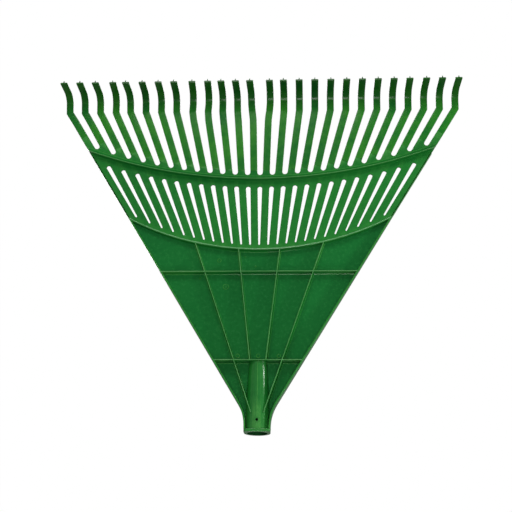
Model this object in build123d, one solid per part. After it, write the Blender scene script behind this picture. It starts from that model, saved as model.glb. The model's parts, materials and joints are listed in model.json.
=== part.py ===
from build123d import *

import math
import os

# A fan-shaped leaf-rake head moulded in plastic. Millimetres.
# The origin is the middle of the handle socket's mouth. +Z runs up the socket towards the tines,
# -Y is the ribbed side, which the curled tips point to, and +X is to the right of that side.

# ---- the fan of tines ----
TINE_COUNT = 26
FOLD_HEIGHT = 481.5        # where every tine turns upright
TIP_PITCH = 23.1           # from tine to tine, above the fold
FAN_APEX_HEIGHT = 1.0      # where the lines of all the tines meet
TINE_WIDTH = 10.5
TINE_THICKNESS = 2.6
TIP_LEAN = 10.0            # degrees that the upright stretch leans forward
UPRIGHT_LENGTH = 12.0
HOOK_ANGLE = 85.0          # degrees from upright at the tip
HOOK_RADIUS = 16.3         # inside the hook
HOOK_LENGTH = 23.0         # straight stretch at the tip
BACK_RIB_WIDTH = 1.6
BACK_RIB_HEIGHT = 3.0
ROOT_GAP = 1.0             # clear of the comb, so that a tine can turn

# ---- the comb plate between the two arcs ----
FRONT_LEVEL = -15.0        # plane of the comb's face and of every rib's crest
COMB_THICKNESS = 2.6
ROOT_ARC_MIDDLE = 380.0    # height of the arc through the rounded ends of the tines' gaps
ROOT_ARC_EDGE = 429.55     # its height on the line of the outermost tine
SLOT_TOP_DROP = 22.5       # from the root arc down to the tops of the slots
SLOT_FOOT_RISE = 9.0       # from the lower arc up to the feet of the slots
NARROWEST_GAP = 2.0        # no slot is cut where the struts are nearer than this
ROOT_MARGIN = 6.0          # of the plate past the root arc, before the gaps are cut
STUB_LENGTH = 2.0          # of each strut, above the gap on its outer side
BAND_MARGIN = 4.0          # of each band past the ends of the slots

# ---- ridge across the comb ----
RIDGE_DROP = 12.3          # from the root arc down to the crest
RIDGE_CREST_WIDTH = 1.5
RIDGE_HEIGHT = 8.0
RIDGE_RAMP = 5.5
RIDGE_FOOT = 3.0

# ---- web and its walls ----
ARC_WALL_MIDDLE = 259.0    # height of the lower arc
ARC_WALL_EDGE = 302.69     # its height on the line of the outermost tine
ARC_WALL_THICKNESS = 3.0
WEB_THICKNESS = 2.4
TRAY_DEPTH_AT_TUBE = 15.0
TRAY_DEPTH_AT_ARC = 8.0
EDGE_OFFSET_AT_TUBE = 3.4  # side flange's outer face, from the outermost tine's line, at the tube's end
FLANGE_THICKNESS = 2.2
COMB_FLANGE_DEPTH = 8.0
NECK_RADIUS = 60.0

# ---- ribs ----
LOWER_RIB_HEIGHT = 98.7    # middle of the rib that closes the tube
UPPER_RIB_HEIGHT = 227.0
CROSS_RIB_THICKNESS = 2.2
RADIAL_RIB_THICKNESS = 2.0
INNER_RIB_SLOPE = 0.1134
OUTER_RIB_SLOPE = 0.3402
OUTER_RIB_FOOT = 33.0

# ---- handle socket ----
BORE_RADIUS = 14.0
BORE_STRAIGHT = 45.0
BORE_END_RADIUS = 10.4
TUBE_WALL = 2.2
TUBE_END_WALL = 2.0
COLLAR_HEIGHT = 4.0
COLLAR_SIDE_WALL = 1.8
COLLAR_FRONT_WALL = 1.4
COLLAR_CORNER = 5.0
SCREW_HEIGHT = 16.0
SCREW_HOLE_RADIUS = 1.9
BOSS_RADIUS = 3.5
BOSS_HEIGHT = 0.8

# ---- ejector marks on the web ----
MARK_RADIUS = 3.0
MARK_WIDTH = 1.0
MARK_HEIGHT = 0.4
MARK_PLACES = [(-57.0, 246.0), (28.5, 107.5), (0.0, 107.5), (-28.5, 107.5)]


def arc_radius(middle, edge):
    """Radius of an arc centred above X=0, from its heights there and on the outermost tine's line."""
    run = EDGE_SLOPE * (edge - FAN_APEX_HEIGHT)
    rise = edge - middle
    return (run**2 + rise**2) / (2 * rise)


# ---- worked out from the sizes above ----
FAN_SLOPE = TIP_PITCH / (FOLD_HEIGHT - FAN_APEX_HEIGHT)
EDGE_SLOPE = FAN_SLOPE * (TINE_COUNT - 1) / 2
EDGE_STRETCH = math.hypot(1.0, EDGE_SLOPE)
HEAD_EDGE_LOW = EDGE_SLOPE * (LOWER_RIB_HEIGHT - FAN_APEX_HEIGHT) + EDGE_OFFSET_AT_TUBE * EDGE_STRETCH
HEAD_EDGE_HIGH = EDGE_SLOPE * (ROOT_ARC_EDGE - FAN_APEX_HEIGHT) + TINE_WIDTH / 2 * EDGE_STRETCH
HEAD_SLOPE = (HEAD_EDGE_HIGH - HEAD_EDGE_LOW) / (ROOT_ARC_EDGE - LOWER_RIB_HEIGHT)
HEAD_STRETCH = math.hypot(1.0, HEAD_SLOPE)
TUBE_RADIUS = BORE_RADIUS + TUBE_WALL
TUBE_END_RADIUS = BORE_END_RADIUS + TUBE_WALL
TUBE_TOP = LOWER_RIB_HEIGHT - CROSS_RIB_THICKNESS / 2
NECK_HALF_WIDTH = TUBE_RADIUS + COLLAR_SIDE_WALL
COMB_BACK = FRONT_LEVEL + COMB_THICKNESS
ROOT_ARC_RADIUS = arc_radius(ROOT_ARC_MIDDLE, ROOT_ARC_EDGE)
UPPER_ARC_CENTRE = ROOT_ARC_MIDDLE + ROOT_ARC_RADIUS
RIDGE_CREST_RADIUS = ROOT_ARC_RADIUS + RIDGE_DROP
SLOT_TOP_RADIUS = ROOT_ARC_RADIUS + SLOT_TOP_DROP
ARC_WALL_RADIUS = arc_radius(ARC_WALL_MIDDLE, ARC_WALL_EDGE)
LOWER_ARC_CENTRE = ARC_WALL_MIDDLE + ARC_WALL_RADIUS
SLOT_FOOT_RADIUS = ARC_WALL_RADIUS - SLOT_FOOT_RISE
WEB_SLOPE = (TRAY_DEPTH_AT_TUBE - TRAY_DEPTH_AT_ARC) / (ARC_WALL_MIDDLE - LOWER_RIB_HEIGHT)
WHOLE_HEIGHT = FOLD_HEIGHT + UPRIGHT_LENGTH + HOOK_RADIUS + HOOK_LENGTH
FAR = 2 * WHOLE_HEIGHT
DEEP = 100.0


def tine_slope(index):
    """Sideways run per unit of height of tine number index, counted from 0 at the left."""
    return FAN_SLOPE * (index - (TINE_COUNT - 1) / 2)


def web_front(height):
    """Depth of the tray's floor, as a Y place, at a height."""
    return FRONT_LEVEL + TRAY_DEPTH_AT_TUBE - WEB_SLOPE * (height - LOWER_RIB_HEIGHT)


def front_prism(face, front, back):
    """A shape drawn as seen from the front, as (X, Z), made solid from Y=front to Y=back."""
    plane = Plane(origin=(0, back, 0), x_dir=(1, 0, 0), z_dir=(0, -1, 0))
    return extrude(plane * face, amount=back - front)


def side_prism(points, half_width):
    """A side profile, drawn as (Y, Z), made solid from X=-half_width to X=half_width."""
    plane = Plane(origin=(-half_width, 0, 0), x_dir=(0, 1, 0), z_dir=(1, 0, 0))
    return extrude(plane * polygon(*points), amount=2 * half_width)


def polygon(*points):
    """A flat face with straight sides."""
    return make_face(Polyline(*points, close=True))


def across(slope, width):
    """Half a width, square to a line of the fan, as (X, Z)."""
    stretch = math.hypot(1.0, slope)
    return width / 2 / stretch, -width / 2 * slope / stretch


def strip(slope, low, high, width):
    """A strip of even width along a line of the fan, with square ends at two heights."""
    x, z = across(slope, width)
    low_x = slope * (low - FAN_APEX_HEIGHT)
    high_x = slope * (high - FAN_APEX_HEIGHT)
    return polygon(
        (low_x - x, low - z), (low_x + x, low + z), (high_x + x, high + z), (high_x - x, high - z)
    )


def disc(radius, x, height):
    """A round flat face."""
    return Pos(x, height) * Circle(radius)


def arc_crossing(slope, centre, radius):
    """Where a line of the fan meets the near side of an arc, as (X, Z)."""
    drop = FAN_APEX_HEIGHT - centre
    a = 1 + slope**2
    b = 2 * drop
    c = drop**2 - radius**2
    along = (-b - math.sqrt(b**2 - 4 * a * c)) / (2 * a)
    return slope * along, FAN_APEX_HEIGHT + along


def edge_x(height, inset=0.0):
    """Half width of the head at a height, or of what lies inset within its edge."""
    return HEAD_EDGE_LOW + HEAD_SLOPE * (height - LOWER_RIB_HEIGHT) - inset * HEAD_STRETCH


def head_outline(low, high, inset=0.0):
    """The head as seen from the front, with its curved neck, between two heights."""
    neck = NECK_HALF_WIDTH - inset
    bend = LOWER_RIB_HEIGHT + (neck - edge_x(LOWER_RIB_HEIGHT, inset)) / HEAD_SLOPE
    top = edge_x(FAR, inset)
    face = polygon((-neck, -FAR), (neck, -FAR), (neck, bend), (top, FAR), (-top, FAR), (-neck, bend))
    corners = [v for v in face.vertices() if abs(v.Y - bend) < 0.001]
    face = fillet(corners, NECK_RADIUS + inset)
    return face & Pos(0, (low + high) / 2) * Rectangle(2 * FAR, high - low)


def arc_disc(centre, radius):
    """The inside of one of the comb's arcs, as seen from the front."""
    return disc(radius, 0, centre)


def socket_body():
    """The solid shape of the tube, with no bore in it."""
    straight = Pos(0, 0, BORE_STRAIGHT / 2) * Cylinder(TUBE_RADIUS, BORE_STRAIGHT)
    taper = TUBE_TOP - BORE_STRAIGHT
    cone = Pos(0, 0, BORE_STRAIGHT + taper / 2) * Cone(TUBE_RADIUS, TUBE_END_RADIUS, taper)
    return straight + cone


def socket_tube():
    """The blind handle socket: a straight bore that tapers to a closed end."""
    bore = Pos(0, 0, BORE_STRAIGHT / 2) * Cylinder(BORE_RADIUS, BORE_STRAIGHT)
    taper = TUBE_TOP - TUBE_END_WALL - BORE_STRAIGHT
    cone = Pos(0, 0, BORE_STRAIGHT + taper / 2) * Cone(BORE_RADIUS, BORE_END_RADIUS, taper)
    return socket_body() - bore - cone - screw_hole()


def screw_hole():
    """What the handle screw's hole takes out of the front wall."""
    deep = TUBE_RADIUS + DEEP
    return Pos(0, -deep / 2, SCREW_HEIGHT) * Rot(90, 0, 0) * Cylinder(SCREW_HOLE_RADIUS, deep)


def screw_boss():
    """The raised pad round the screw's hole."""
    deep = TUBE_RADIUS + BOSS_HEIGHT
    pad = Pos(0, -deep / 2, SCREW_HEIGHT) * Rot(90, 0, 0) * Cylinder(BOSS_RADIUS, deep)
    return pad - socket_body() - screw_hole()


def socket_collar():
    """The flat bead round the mouth, straight across the front."""
    front = TUBE_RADIUS + COLLAR_FRONT_WALL
    width = 2 * NECK_HALF_WIDTH
    shape = Circle(NECK_HALF_WIDTH) + Pos(0, -front / 2) * Rectangle(width, front)
    shape = shape & Pos(0, DEEP / 2 - front) * Rectangle(width, DEEP)
    corners = [v for v in shape.vertices() if abs(v.Y + front) < 0.001]
    plate = extrude(fillet(corners, COLLAR_CORNER), amount=COLLAR_HEIGHT)
    return plate - socket_body()


def web_slab():
    """The sloping sheet that the web is cut from."""
    low, high = -DEEP, FAR
    return side_prism(
        [
            (web_front(low), low),
            (web_front(low) + WEB_THICKNESS, low),
            (web_front(high) + WEB_THICKNESS, high),
            (web_front(high), high),
        ],
        FAR,
    )


def tray_space():
    """The room between the crest plane and the floor of the tray."""
    low = -DEEP
    crossing = LOWER_RIB_HEIGHT + TRAY_DEPTH_AT_TUBE / WEB_SLOPE
    return side_prism([(FRONT_LEVEL, low), (web_front(low), low), (FRONT_LEVEL, crossing)], FAR)


def web_panel():
    """The floor of the tray, from the closed end of the tube to the lower arc."""
    low = TUBE_TOP
    face = head_outline(low, FOLD_HEIGHT, FLANGE_THICKNESS)
    face -= arc_disc(LOWER_ARC_CENTRE, ARC_WALL_RADIUS)
    face &= Pos(0, ARC_WALL_MIDDLE / 2) * Rectangle(2 * FAR, FOLD_HEIGHT + ARC_WALL_MIDDLE)
    return keep_low(front_prism(face, -DEEP, DEEP) & web_slab())


def keep_low(shape):
    """The lowest solid of a shape that a cut has left in pieces."""
    return sorted(shape.solids(), key=lambda s: s.center().Z)[0]


def neck_web(side):
    """The web beside the tube, left (-1) or right (+1)."""
    face = head_outline(COLLAR_HEIGHT, TUBE_TOP, FLANGE_THICKNESS)
    face &= Pos(side * DEEP, 0) * Rectangle(2 * DEEP, 2 * FAR)
    sheet = front_prism(face, -DEEP, DEEP) & web_slab()
    return sheet - socket_body()


def side_flange(side):
    """The wall along one edge, from the collar to the upper arc, left (-1) or right (+1)."""
    last = TINE_COUNT - 1 if side > 0 else 0
    face = head_outline(COLLAR_HEIGHT, tine_root(last)) - head_outline(0, FAR, FLANGE_THICKNESS)
    face &= Pos(side * FAR, 0) * Rectangle(2 * FAR, 4 * FAR)
    face -= comb_stub(last)
    turn = LOWER_RIB_HEIGHT + (TRAY_DEPTH_AT_TUBE + WEB_THICKNESS - COMB_FLANGE_DEPTH) / WEB_SLOPE
    profile = [
        (FRONT_LEVEL, 0),
        (web_front(0) + WEB_THICKNESS, 0),
        (FRONT_LEVEL + COMB_FLANGE_DEPTH, turn),
        (FRONT_LEVEL + COMB_FLANGE_DEPTH, FAR),
        (FRONT_LEVEL, FAR),
    ]
    wall = front_prism(face, -DEEP, DEEP) & side_prism(profile, FAR) - socket_body()
    return keep_low(wall)


def cross_rib(height):
    """A rib across the tray from flange to flange."""
    face = head_outline(
        height - CROSS_RIB_THICKNESS / 2, height + CROSS_RIB_THICKNESS / 2, FLANGE_THICKNESS
    )
    return front_prism(face, -DEEP, DEEP) & tray_space()


def radial_rib(slope, low):
    """A rib along a line of the fan, cut where the cross ribs and the tube pass through it."""
    face = strip(slope, low, FOLD_HEIGHT, RADIAL_RIB_THICKNESS)
    face -= arc_disc(LOWER_ARC_CENTRE, ARC_WALL_RADIUS)
    face &= Pos(0, ARC_WALL_MIDDLE / 2) * Rectangle(2 * FAR, FOLD_HEIGHT + ARC_WALL_MIDDLE)
    rib = front_prism(face, -DEEP, DEEP) & tray_space()
    rib = rib - cross_rib(UPPER_RIB_HEIGHT) - cross_rib(LOWER_RIB_HEIGHT) - socket_body()
    return [s for s in rib.solids() if s.center().Z < ARC_WALL_MIDDLE + TRAY_DEPTH_AT_TUBE]


def lower_arc_wall():
    """The step between the web and the comb."""
    face = arc_disc(LOWER_ARC_CENTRE, ARC_WALL_RADIUS)
    face -= arc_disc(LOWER_ARC_CENTRE, ARC_WALL_RADIUS - ARC_WALL_THICKNESS)
    face &= head_outline(0, FOLD_HEIGHT, FLANGE_THICKNESS)
    low, high = 0, FOLD_HEIGHT
    back = [
        (FRONT_LEVEL, low),
        (web_front(low) + WEB_THICKNESS, low),
        (web_front(high) + WEB_THICKNESS, high),
        (FRONT_LEVEL, high),
    ]
    return keep_low(front_prism(face, -DEEP, DEEP) & side_prism(back, FAR))


def gap_slope(index):
    """Sideways run per unit of height of the gap between tines index and index + 1."""
    return (tine_slope(index) + tine_slope(index + 1)) / 2


def gap_half_width(slope, height):
    """Half of what the even width of the tines leaves between them at a height."""
    return (FAN_SLOPE * (height - FAN_APEX_HEIGHT) / math.hypot(1.0, slope) - TINE_WIDTH) / 2


def gap_strip(slope, low, high):
    """The widening space between two struts, from one height to another, with square ends."""
    low_x, low_z = across(slope, 2 * gap_half_width(slope, low))
    high_x, high_z = across(slope, 2 * gap_half_width(slope, high))
    foot = slope * (low - FAN_APEX_HEIGHT)
    top = slope * (high - FAN_APEX_HEIGHT)
    return polygon(
        (foot - low_x, low - low_z),
        (foot + low_x, low + low_z),
        (top + high_x, high + high_z),
        (top - high_x, high - high_z),
    )


def lower_slot(index):
    """One slot of the comb, square at its foot and rounded at its top, seen from the front."""
    slope = gap_slope(index)
    narrow = FAN_APEX_HEIGHT + (TINE_WIDTH + NARROWEST_GAP) * math.hypot(1.0, slope) / FAN_SLOPE
    foot = max(narrow, arc_crossing(slope, LOWER_ARC_CENTRE, SLOT_FOOT_RADIUS)[1])
    top = arc_crossing(slope, UPPER_ARC_CENTRE, SLOT_TOP_RADIUS)[1]
    radius = gap_half_width(slope, top)
    middle = top - radius / math.hypot(1.0, slope)
    return gap_strip(slope, foot, middle) + disc(radius, slope * (middle - FAN_APEX_HEIGHT), middle)


def root_gap(index):
    """The lower end, rounded, of the gap between tines index and index + 1."""
    slope = gap_slope(index)
    x, height = arc_crossing(slope, UPPER_ARC_CENTRE, ROOT_ARC_RADIUS)
    return gap_strip(slope, height, FOLD_HEIGHT) + disc(gap_half_width(slope, height), x, height)


def comb_stub(index):
    """The end of a strut, from the ridge up to the root of its tine, seen from the front."""
    low = arc_crossing(tine_slope(index), UPPER_ARC_CENTRE, RIDGE_CREST_RADIUS)[1]
    return strip(tine_slope(index), low, tine_root(index) - ROOT_GAP, TINE_WIDTH)


def tine_place(index):
    """The room that a tine takes, above its strut, seen from the front."""
    low = tine_root(index) - ROOT_GAP
    return strip(tine_slope(index), low, FOLD_HEIGHT, TINE_WIDTH + ROOT_GAP)


def comb_plate():
    """The whole slotted plate that carries the tines."""
    face = arc_disc(LOWER_ARC_CENTRE, ARC_WALL_RADIUS - ARC_WALL_THICKNESS)
    face &= head_outline(0, FOLD_HEIGHT, FLANGE_THICKNESS)
    face -= arc_disc(UPPER_ARC_CENTRE, ROOT_ARC_RADIUS - ROOT_MARGIN)
    face -= [lower_slot(i) for i in range(TINE_COUNT - 1)]
    face -= [root_gap(i) for i in range(TINE_COUNT - 1)]
    face -= [tine_place(i) for i in range(TINE_COUNT)]
    face += [comb_stub(i) for i in range(TINE_COUNT)]
    return front_prism(face, FRONT_LEVEL, COMB_BACK)


def comb_regions():
    """The comb plate as its lower band, its struts, its upper band and the stubs above that."""
    plate = comb_plate()
    past_feet = front_prism(
        arc_disc(LOWER_ARC_CENTRE, SLOT_FOOT_RADIUS - BAND_MARGIN), -DEEP, DEEP
    )
    past_tops = front_prism(
        arc_disc(UPPER_ARC_CENTRE, SLOT_TOP_RADIUS + BAND_MARGIN), -DEEP, DEEP
    )
    past_roots = front_prism(arc_disc(UPPER_ARC_CENTRE, ROOT_ARC_RADIUS), -DEEP, DEEP)
    return {
        "comb_lower_band": plate - past_feet,
        "comb_struts": (plate & past_feet) - past_tops,
        "comb_upper_band": (plate & past_tops) - past_roots,
        "tine_stubs": plate & past_roots,
    }


def upper_arc_ridge():
    """The wedge-shaped ridge that stands out of the comb, between the two rows of gaps."""
    crest = RIDGE_CREST_RADIUS
    under = crest + RIDGE_CREST_WIDTH
    profile = polygon(
        (crest - RIDGE_RAMP, FRONT_LEVEL),
        (crest, FRONT_LEVEL - RIDGE_HEIGHT),
        (under, FRONT_LEVEL - RIDGE_HEIGHT),
        (crest + RIDGE_FOOT, FRONT_LEVEL),
    )
    plane = Plane(origin=(0, 0, UPPER_ARC_CENTRE), x_dir=(0, 0, -1), z_dir=(1, 0, 0))
    ring = revolve(plane * profile, Axis((0, 0, UPPER_ARC_CENTRE), (0, 1, 0)))
    return keep_low(ring & front_prism(head_outline(0, FOLD_HEIGHT), -DEEP, DEEP))


def turned(start, runs):
    """A path of straight runs, each a length and an angle from upright, in radians."""
    path = [start]
    for length, angle in runs:
        y, z = path[-1]
        path.append((y - length * math.sin(angle), z + length * math.cos(angle)))
    return path


def tine_profile(low, inner, outer):
    """The side profile of a tine or of its back rib: inner and outer are depths behind the face."""
    lean = math.radians(TIP_LEAN)
    hook = math.radians(HOOK_ANGLE)
    reach = HOOK_RADIUS * math.tan((hook - lean) / 2)
    runs = [
        (FOLD_HEIGHT - low, 0.0),
        (UPRIGHT_LENGTH + reach, lean),
        (reach + HOOK_LENGTH, hook),
    ]
    face_line = turned((FRONT_LEVEL, low), runs)

    def parallel(depth):
        """The face line moved back by a depth, with its corners mitred."""
        angles = [angle for _, angle in runs]
        places = []
        for i, (y, z) in enumerate(face_line):
            before = angles[max(i - 1, 0)]
            after = angles[min(i, len(angles) - 1)]
            middle = (before + after) / 2
            out = depth / math.cos((after - before) / 2)
            places.append((y + out * math.cos(middle), z + out * math.sin(middle)))
        return places

    near, rear = parallel(inner), parallel(outer)
    face = polygon(*near, *reversed(rear))
    for corner, depth in ((near[2], inner), (rear[2], outer)):
        bend = [v for v in face.vertices() if math.dist((v.X, v.Y), corner) < 0.001]
        face = fillet(bend, HOOK_RADIUS + depth)
    return face


def tine_strip(index, low, width):
    """A tine as seen from the front: along the fan's line, then upright above the fold."""
    slope = tine_slope(index)
    half = width / 2
    root_x, root_z = across(slope, width)
    low_x = slope * (low - FAN_APEX_HEIGHT)
    fold_x = slope * (FOLD_HEIGHT - FAN_APEX_HEIGHT)
    mitre = half * math.tan(math.atan(slope) / 2)
    return polygon(
        (low_x - root_x, low - root_z),
        (low_x + root_x, low + root_z),
        (fold_x + half, FOLD_HEIGHT - mitre),
        (fold_x + half, WHOLE_HEIGHT),
        (fold_x - half, WHOLE_HEIGHT),
        (fold_x - half, FOLD_HEIGHT + mitre),
    )


def tine_root(index):
    """Height of a tine's lower end, square to the tine and above the gap on its outer side."""
    slope = tine_slope(index)
    outer_gap = slope + math.copysign(FAN_SLOPE / 2, slope)
    x, height = arc_crossing(outer_gap, UPPER_ARC_CENTRE, ROOT_ARC_RADIUS)
    level = (slope * x + height - FAN_APEX_HEIGHT) / (1 + slope**2)
    return FAN_APEX_HEIGHT + level + STUB_LENGTH + ROOT_GAP


def tine(index):
    """One sprung tine with its curled tip and its back rib."""
    low = tine_root(index)
    lowest_corner = low - TINE_WIDTH
    reach = TIP_PITCH * TINE_COUNT
    plane = Plane(origin=(-reach, 0, 0), x_dir=(0, 1, 0), z_dir=(1, 0, 0))

    def layer(inner, outer, width):
        """The blade or its rib: a bent sheet between two depths, cut to the tine's outline."""
        sheet = extrude(plane * tine_profile(lowest_corner, inner, outer), amount=2 * reach)
        return sheet & front_prism(tine_strip(index, low, width), -DEEP, DEEP)

    blade = layer(0.0, TINE_THICKNESS, TINE_WIDTH)
    rib = layer(TINE_THICKNESS, TINE_THICKNESS + BACK_RIB_HEIGHT, BACK_RIB_WIDTH)
    return blade + rib


def strut_back_rib(index):
    """The rib behind one strut of the comb, in line with the tine's."""
    slope = tine_slope(index)
    low = arc_crossing(slope, LOWER_ARC_CENTRE, ARC_WALL_RADIUS - ARC_WALL_THICKNESS)[1]
    high = tine_root(index) - ROOT_GAP
    face = strip(slope, low + ARC_WALL_THICKNESS, high, BACK_RIB_WIDTH)
    return front_prism(face, COMB_BACK, COMB_BACK + BACK_RIB_HEIGHT)


def ejector_marks():
    """Round marks that stand just proud of the tray's floor."""
    sheet = tray_space() - Pos(0, -MARK_HEIGHT, 0) * tray_space()
    marks = []
    for x, height in MARK_PLACES:
        ring = disc(MARK_RADIUS, x, height) - disc(MARK_RADIUS - MARK_WIDTH, x, height)
        marks += (front_prism(ring, -DEEP, DEEP) & sheet).solids()
    return marks


def save(name, shape):
    """Write one node."""
    solids = shape if isinstance(shape, list) else list(shape.solids())
    body = solids[0] if len(solids) == 1 else Compound(children=solids)
    export_step(body, f"parts/{name}.step")


def main():
    os.makedirs("parts", exist_ok=True)
    save("socket_tube", socket_tube())
    save("socket_collar", socket_collar())
    save("screw_boss", screw_boss())
    save("web_panel", web_panel())
    for name, side in (("left", -1), ("right", 1)):
        save(f"neck_web_{name}", neck_web(side))
        save(f"side_flange_{name}", side_flange(side))
        save(f"inner_rib_{name}", radial_rib(side * INNER_RIB_SLOPE, LOWER_RIB_HEIGHT))
        save(f"outer_rib_{name}", radial_rib(side * OUTER_RIB_SLOPE, OUTER_RIB_FOOT))
    save("cross_rib_lower", cross_rib(LOWER_RIB_HEIGHT))
    save("cross_rib_upper", cross_rib(UPPER_RIB_HEIGHT))
    save("lower_arc_wall", lower_arc_wall())
    for name, region in comb_regions().items():
        save(name, region)
    save("upper_arc_ridge", upper_arc_ridge())
    save("strut_back_ribs", [strut_back_rib(i).solid() for i in range(TINE_COUNT)])
    save("ejector_marks", ejector_marks())
    for index in range(TINE_COUNT):
        save(f"tine_{index + 1:02d}", tine(index))


main()
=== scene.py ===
"""Looks of a moulded leaf-rake head, built round its CAD frame. Sizes are in metres.

The head stands upright: the socket's mouth is at the origin, the tines point up and the ribbed side
faces -Y. Each class below is one part of the moulding, with its sizes as fields.
"""

import json
import logging
import math
from collections.abc import Iterator
from contextlib import contextmanager
from dataclasses import dataclass
from enum import Enum

import bpy
from mathutils import Matrix, Vector


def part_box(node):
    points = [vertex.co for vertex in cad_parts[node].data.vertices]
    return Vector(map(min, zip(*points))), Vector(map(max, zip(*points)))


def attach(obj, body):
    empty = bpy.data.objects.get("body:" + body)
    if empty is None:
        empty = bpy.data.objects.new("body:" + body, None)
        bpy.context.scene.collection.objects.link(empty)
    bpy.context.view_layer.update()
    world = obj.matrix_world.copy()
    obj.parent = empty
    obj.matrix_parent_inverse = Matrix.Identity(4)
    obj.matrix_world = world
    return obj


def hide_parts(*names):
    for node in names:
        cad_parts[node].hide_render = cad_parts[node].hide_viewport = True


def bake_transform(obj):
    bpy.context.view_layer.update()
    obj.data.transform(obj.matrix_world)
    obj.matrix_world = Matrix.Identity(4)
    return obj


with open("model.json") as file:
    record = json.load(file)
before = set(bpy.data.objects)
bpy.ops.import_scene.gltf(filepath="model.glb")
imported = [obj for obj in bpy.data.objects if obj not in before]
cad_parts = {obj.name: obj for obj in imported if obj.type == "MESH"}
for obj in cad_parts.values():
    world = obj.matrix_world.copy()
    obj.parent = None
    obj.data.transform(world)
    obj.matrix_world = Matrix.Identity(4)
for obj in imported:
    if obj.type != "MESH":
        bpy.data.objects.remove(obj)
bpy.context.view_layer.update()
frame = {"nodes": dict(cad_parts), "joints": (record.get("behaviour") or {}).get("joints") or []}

LOG = logging.getLogger("rake_head")
MM = 0.001
HEAD = "head"
SMOOTH_ANGLE = math.radians(38)
MERGE_WITHIN = 1e-6
Piece = bpy.types.Object
Paint = bpy.types.Material
Pin = bpy.types.NodeSocket
Pair = tuple[float, float]
Triple = tuple[float, float, float]
Colour = Triple

# Heights and sizes that several parts share.
LOWER_RIB_HEIGHT = 98.7 * MM
RIM_MIDDLE, RIM_EDGE = 259.0 * MM, 302.69 * MM
ROOTS_MIDDLE, ROOTS_EDGE = 380.0 * MM, 429.55 * MM
RIDGE_DROP = 12.3 * MM
ROOT_HALF_GAP = 0.5 * MM
BACK_RIB_WIDTH = 1.6 * MM
BACK_RIB_HEIGHT = 3.0 * MM

# The stretch of each noise or mask over which it takes effect.
DRIFT_SPAN = (0.38, 0.62)
MOTTLE_SPAN = (0.35, 0.65)
SATIN_SPAN = (0.3, 0.7)
SCRATCH_SPAN = (0.64, 0.72)
PATCH_SPAN = (0.45, 0.65)
EDGE_SPAN = (0.505, 0.56)
WEAR_SPAN = (0.3, 0.6)


class Slot(Enum):
    """The record's material slots."""

    MOULDED = "moulded_green"
    TRAY = "tray_green"
    TINE = "tine_green"


# ---------------------------------------------------------------- finishes


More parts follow.
